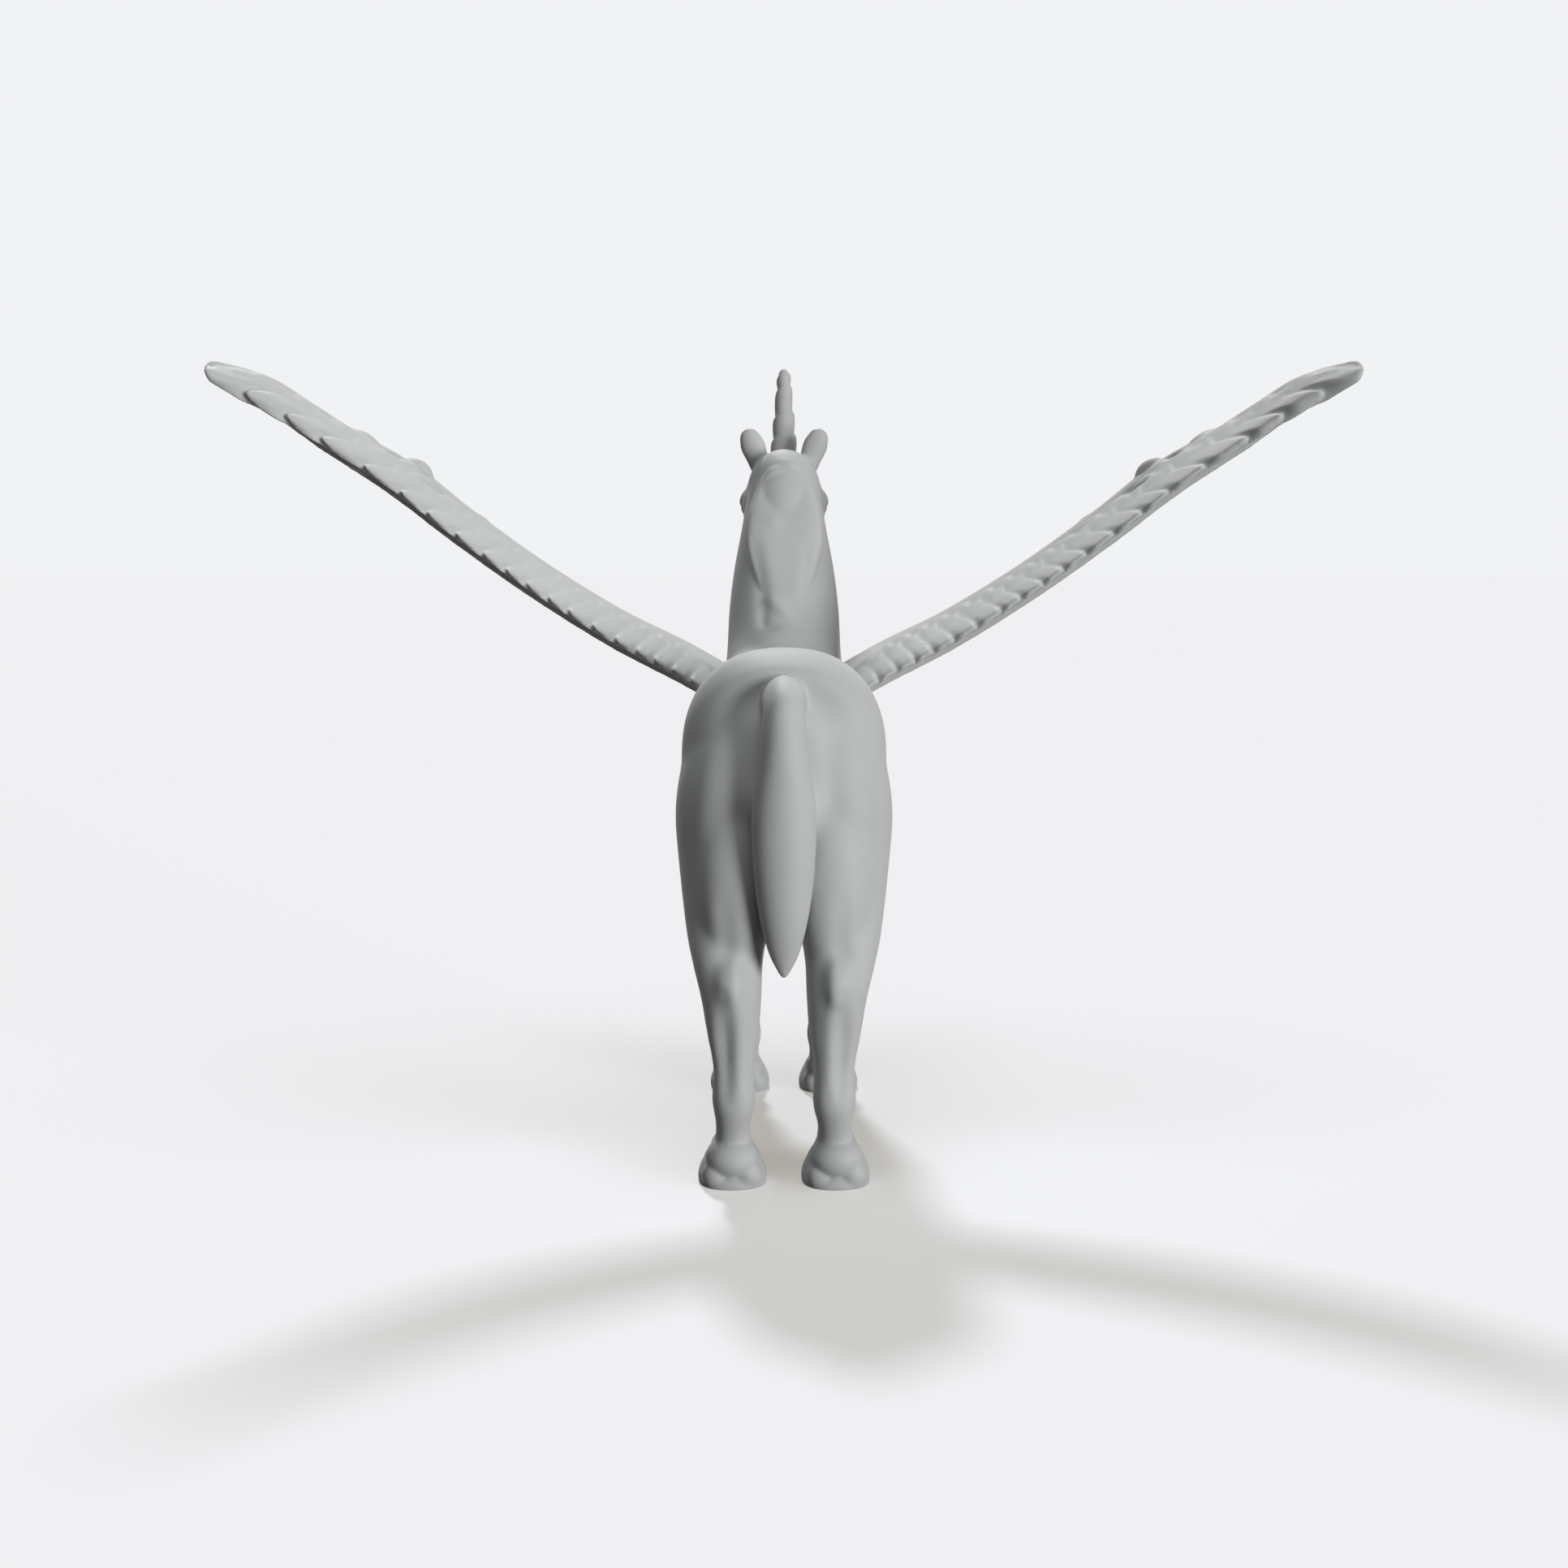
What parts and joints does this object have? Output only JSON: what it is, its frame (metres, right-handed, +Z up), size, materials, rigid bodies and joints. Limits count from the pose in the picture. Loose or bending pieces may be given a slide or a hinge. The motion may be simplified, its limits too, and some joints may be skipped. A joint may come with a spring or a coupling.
{
  "type": "winged unicorn figurine",
  "caption": "Winged unicorn figurine standing on four hooves with both wings raised, cast in one piece in matt light grey resin",
  "frame": {"origin": "centre of the bounding box, on the plane of the four soles", "axes": "+Z up, head towards -Y, tail towards +Y, the animal's left wing towards +X"},
  "size_m": [0.2124, 0.126, 0.1504],
  "materials": {
    "resin": "matt cast resin"
  },
  "bodies": {
    "root": {"figurine": "resin"}
  },
  "joints": []
}
